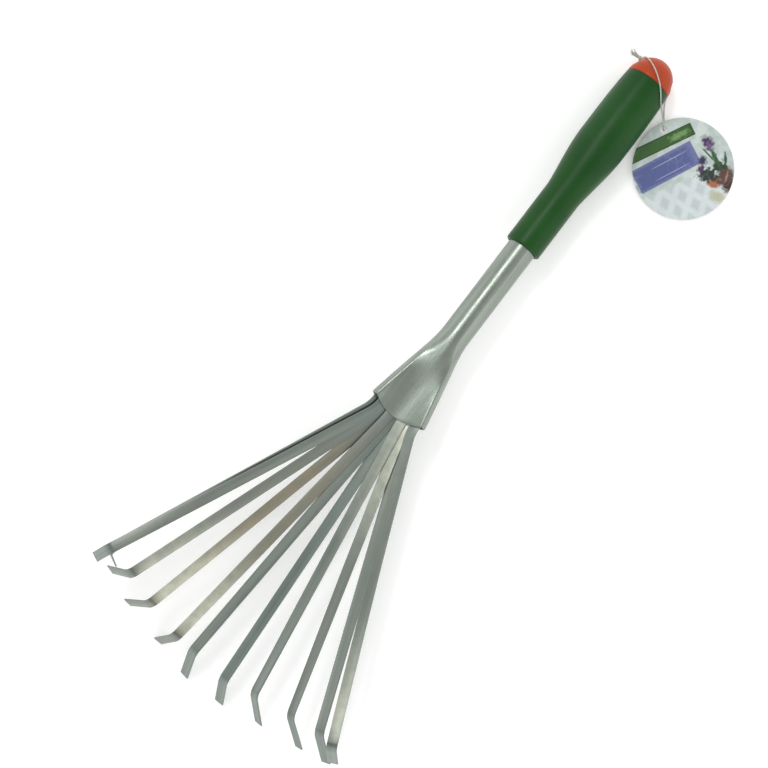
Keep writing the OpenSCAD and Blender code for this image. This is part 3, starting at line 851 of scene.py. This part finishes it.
# %% Make the eleven tines
for k in range(len(SPLAY)):
    node = f"tine_{k + 1:02d}"
    stations = tine_stations(k)
    tine = rail_from(f"strip_{k + 1:02d}", [placed(s[0]) for s in stations])
    sideways = tine.data.attributes.new("sideways", "FLOAT_VECTOR", "POINT")
    for value, station in zip(sideways.data, stations):
        value.vector = (placed(station[0] + station[2]) - placed(station[0])).normalized()
    # Painted light along the rail: warm reflection, highlight and shade at the fold.
    history = tine.data.attributes.new("history", "FLOAT_VECTOR", "POINT")
    for i, value in enumerate(history.data):
        value.vector = painted_light_at(k, i, len(stations))
    grow(tine, strip, Width=TINE_W * MM, Thickness=TINE_T * MM, Edge_radius=0.26 * MM, Edge_steps=3,
         Grain_start=0.37 * k, Finish=tine_steel)
    soften_edges(tine, 0.1 * MM, 2, 60)
    settle(tine)
    shade_smooth(tine, 20)
    finish_piece(tine, tine_steel, "rake", "spring_steel", node)
    low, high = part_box(node)
    spans = [[v.co[i] for v in tine.data.vertices] for i in range(3)]
    off = max(abs(min(span) - low[i]) + abs(max(span) - high[i]) for i, span in enumerate(spans))
    print(node, "differs from the CAD box by", round(off * 1000, 2), "mm")

# %% [markdown]
# ## The tube and its socket
# One drawn steel tube is pressed flat and curved at its front end, where it grips the tines. The skin is
# lofted through rings that pass from a circle to a curved slot, with a rounded rim at the mouth.

# %% Loft the tube
TUBE_D, TUBE_WALL, BARE_L, TUBE_IN_GRIP = 16, 1.1, 57.5, 64
SLOT_T = 3 * TINE_T + 2 * (LAYER_STEP - TINE_T) + 0.6
SLOT_HALF = MIDDLE_TINE * ROOT_PITCH + TINE_W / 2 + 0.45
SLOT_END = 1.2
MOUTH_OVER = 4.2
TUBE_SIDES = 128


def squarish(v):
    return math.copysign(math.sqrt(abs(v)), v)


def slot_outline(turn, half, radius, end):
    """A slot with squarish ends: half its length, half its height and the length of its end's rounding."""
    c = math.cos(turn) * math.sqrt(2)
    if abs(c) > 1:
        way = math.copysign(1, c)
        out = half - end + end * squarish(math.cos(2 * turn))
        return way * out, way * radius * squarish(math.sin(2 * turn))
    return (half - end) * c, math.copysign(radius, math.sin(turn))


def tube_point(turn, y, flat_share, grow_by):
    share = flare(flat_share)
    radius = TUBE_D / 2 - TUBE_WALL + grow_by
    x, z = slot_outline(turn, SLOT_HALF + grow_by, SLOT_T / 2 + grow_by, SLOT_END + grow_by)
    over = MOUTH_OVER * flat_share ** 2 * (1 - (x / (SLOT_HALF + grow_by)) ** 2)
    a, r = x / CRESCENT_R, CRESCENT_R - z
    return placed((radius * math.cos(turn) * (1 - share) + r * math.sin(a) * share, y - over,
                   radius * math.sin(turn) * (1 - share) + (CRESCENT_R - r * math.cos(a)) * share))


def tube_ring(y, flat_share, grow_by):
    turns = [2 * math.pi * (i + 0.5) / TUBE_SIDES for i in range(TUBE_SIDES)]
    return [tube_point(turn, y, flat_share, grow_by) for turn in turns]


def loft(name, rings, closed=False):
    """A skin over rings of equal size. A closed one joins its last ring to its first."""
    n = len(rings[0])
    faces = []
    for r in range(len(rings) if closed else len(rings) - 1):
        s = (r + 1) % len(rings)
        faces += [(r * n + i, s * n + i, s * n + (i + 1) % n, r * n + (i + 1) % n) for i in range(n)]
    return new_object(name, mesh_from(name, [p for ring in rings for p in ring], faces))


def face_outwards(made, close=False):
    """Turns all faces outwards, after open ends are closed where that is asked for."""
    bm = bmesh.new()
    bm.from_mesh(made.data)
    bmesh.ops.remove_doubles(bm, verts=bm.verts, dist=1e-7)
    if close:
        bmesh.ops.holes_fill(bm, edges=[e for e in bm.edges if e.is_boundary])
    bmesh.ops.recalc_face_normals(bm, faces=bm.faces)
    bm.to_mesh(made.data)
    bm.free()


LOFT_STEPS = 48
lengthways = [(SOCKET_L + BARE_L + TUBE_IN_GRIP, 0), (SOCKET_L + BARE_L, 0), (SOCKET_L + BARE_L / 2, 0)]
lengthways += [(SOCKET_L * (1 - i / LOFT_STEPS), i / LOFT_STEPS) for i in range(LOFT_STEPS + 1)]
outside = [tube_ring(y, v, TUBE_WALL) for y, v in lengthways]
rim = []
for i in range(1, 6):
    turn = math.pi * i / 6
    rim.append(tube_ring(-0.5 * math.sin(turn), 1, TUBE_WALL * (1 + math.cos(turn)) / 2))
inside = [tube_ring(y, v, 0) for y, v in reversed(lengthways)]
tube = loft("socket_tube", outside + rim + inside, closed=True)
face_outwards(tube)
shade_smooth(tube, 50)
finish_piece(tube, tube_steel, "rake", "tube_steel", "handle_tube")

# %% [markdown]
# ## The grip and the cap
# Both are turned shapes, so one helper spins a profile around the handle's own line. The grip carries the
# fine mould seam along its two sides, and the cap is cut by its hang slot, whose edges are rounded.

# %% Turn a profile around the handle
GRIP_Y = SOCKET_L + BARE_L
NECK_D, BARREL_D, RIM_D, NECK_L, TAPER_L, BARREL_L, CAP_H = 20.2, 27.5, 25.8, 36, 35, 40.5, 14.6
CAP_Y = GRIP_Y + NECK_L + TAPER_L + BARREL_L


def turn_profile(name, profile, sides, seam=0.0):
    """Spins [radius, length] pairs about the handle's line. seam raises a fine ridge on the two sides."""
    rings = []
    for radius, y in profile:
        ring = []
        for i in range(sides):
            turn = 2 * math.pi * i / sides
            ridge = seam if i % (sides // 2) == 0 and radius > 9 else 0
            ring.append(placed(((radius + ridge) * math.cos(turn), y, (radius + ridge) * math.sin(turn))))
        rings.append(ring)
    made = loft(name, rings)
    face_outwards(made)
    return made


def arc(middle, radius, start, end, steps):
    """Points of a circle arc in a profile, with both ends."""
    turns = [math.radians(start + (end - start) * i / steps) for i in range(steps + 1)]
    return [(middle[0] + radius * math.cos(t), middle[1] + radius * math.sin(t)) for t in turns]


def grip_outline():
    lip, bore, edge = 1.2, TUBE_D / 2 + 0.05, 0.35
    out = [(bore, GRIP_Y + 30), (bore, GRIP_Y + 0.5), (bore + 0.25, GRIP_Y + 0.12)]
    out += arc((NECK_D / 2 - lip, GRIP_Y + lip), lip, -90, 0, 8)
    out += [(NECK_D / 2, GRIP_Y + NECK_L * i / 12) for i in range(1, 12)]
    for i in range(25):
        v = i / 24
        rise = (BARREL_D - NECK_D) / 2 * math.sin(math.pi / 2 * v ** 1.25)
        out.append((NECK_D / 2 + rise, GRIP_Y + NECK_L + TAPER_L * v))
    for i in range(1, 24):
        v = i / 24
        swell = (BARREL_D - RIM_D) / 2 * math.cos(math.pi / 2 * v * v)
        out.append((RIM_D / 2 + swell, GRIP_Y + NECK_L + TAPER_L + BARREL_L * v))
    out += arc((RIM_D / 2 - edge, CAP_Y - edge), edge, 0, 90, 4)
    return out + [(0.02, CAP_Y)]


grip = turn_profile("moulded_grip", grip_outline(), 192, seam=0.07)
shade_smooth(grip, 40)
finish_piece(grip, grip_green, "rake", "green_plastic", "grip")

# %% The cap and its slot
SLOT_W, SLOT_H = 5.4, 9.4
SLOT_Y = CAP_Y + 3 + SLOT_W / 2
cap_profile = [(0.02, CAP_Y + 0.02)]
cap_profile += [(RIM_D / 2 - 0.45, CAP_Y + 0.02), (RIM_D / 2 - 0.14, CAP_Y + 0.16)]
cap_profile += [(RIM_D / 2 * math.cos(a), CAP_Y + CAP_H * math.sin(a))
                for a in (math.radians(2.5 + 87.3 * i / 30) for i in range(31))]
cap = turn_profile("domed_cap", cap_profile, 160)
face_outwards(cap, close=True)
slot_ring = []
for i in range(64):
    turn = 2 * math.pi * (i + 0.5) / 64
    lift = math.copysign((SLOT_H - SLOT_W) / 2, math.sin(turn))
    slot_ring.append((SLOT_Y + SLOT_W / 2 * math.cos(turn), lift + SLOT_W / 2 * math.sin(turn)))
cutter = loft("slot_cutter", [[placed((x, y, z)) for y, z in slot_ring] for x in (-16, 16)])
face_outwards(cutter, close=True)
cut_away(cap, cutter)
soften_edges(cap, 0.45 * MM, 3, 38)
settle(cap)
bpy.data.objects.remove(cutter)
shade_smooth(cap, 40)
finish_piece(cap, cap_orange, "rake", "orange_plastic", "end_cap")

# %% [markdown]
# ## Floor and light
# A pale sweep of floor with a faint glow of its own, a sky that is dimmer overhead than at the horizon, and
# three long soft lights beside the line of view. Plated steel shows what it faces, so the dim sky makes it
# mid grey, and the long lights draw the bright lines along the tube and the grip.

# %% Floor
FLOOR_HALF = 3.0
floor = new_object("floor", mesh_from("floor", [(x * FLOOR_HALF, y * FLOOR_HALF, 0) for x, y in
                                                ((-1, -1), (1, -1), (1, 1), (-1, 1))], [(0, 1, 2, 3)]))
paper, tree, body = new_material("pale floor", Roughness=0.9, Specular_IOR_Level=0.1, Emission_Strength=0.15)
speck = put(tree, "ShaderNodeTexNoise", {"Vector": object_space(tree), "Scale": 6.0, "Detail": 3.0})
speck = spread(tree, speck.outputs[0], 0.3, 0.7)
tone = blend_colour(tree, speck, (0.93, 0.93, 0.93, 1), (0.96, 0.96, 0.96, 1))
tree.links.new(tone, body.inputs["Base Color"])
floor.data.materials.append(paper)

# %% Sky
world = bpy.data.worlds.new("studio")
bpy.context.scene.world = world
world.use_nodes = True
tree = world.node_tree
direction = put(tree, "ShaderNodeTexCoord").outputs["Generated"]
height = put(tree, "ShaderNodeSeparateXYZ", {0: direction}).outputs[2]
sky = put(tree, "ShaderNodeValToRGB", {0: height})
stops = sky.color_ramp.elements
stops[0].position, stops[0].color = 0.0, (1.5, 1.5, 1.49, 1)
stops[1].position, stops[1].color = 0.97, (0.66, 0.67, 0.66, 1)
shade = tree.nodes["Background"]
tree.links.new(sky.outputs[0], shade.inputs[0])
shade.inputs[1].default_value = 1.0


def long_light(name, place, width, length, power, turn=0.0):
    """A soft panel that faces the middle of the rake, its long side along the handle or turned from it."""
    lamp = bpy.data.lights.new(name, "AREA")
    lamp.shape = "RECTANGLE"
    lamp.size, lamp.size_y = width, length
    lamp.energy = power
    made = new_object(name, lamp)
    made.location = place
    made.rotation_mode = "ZYX"
    made.rotation_euler = (0, math.atan2(place[0], place[2]), math.radians(turn))
    return made


long_light("right_panel", (1.25, 0.1, 0.95), 0.4, 1.8, 1.3)
long_light("tube_line", (-0.22, 0.12, 1.35), 0.1, 1.0, 1.0, 20)
long_light("grip_line", (-0.58, 0.46, 1.2), 0.16, 0.6, 3.6, 20)
bpy.context.scene.view_settings.view_transform = "Standard"
print("floor and light placed")
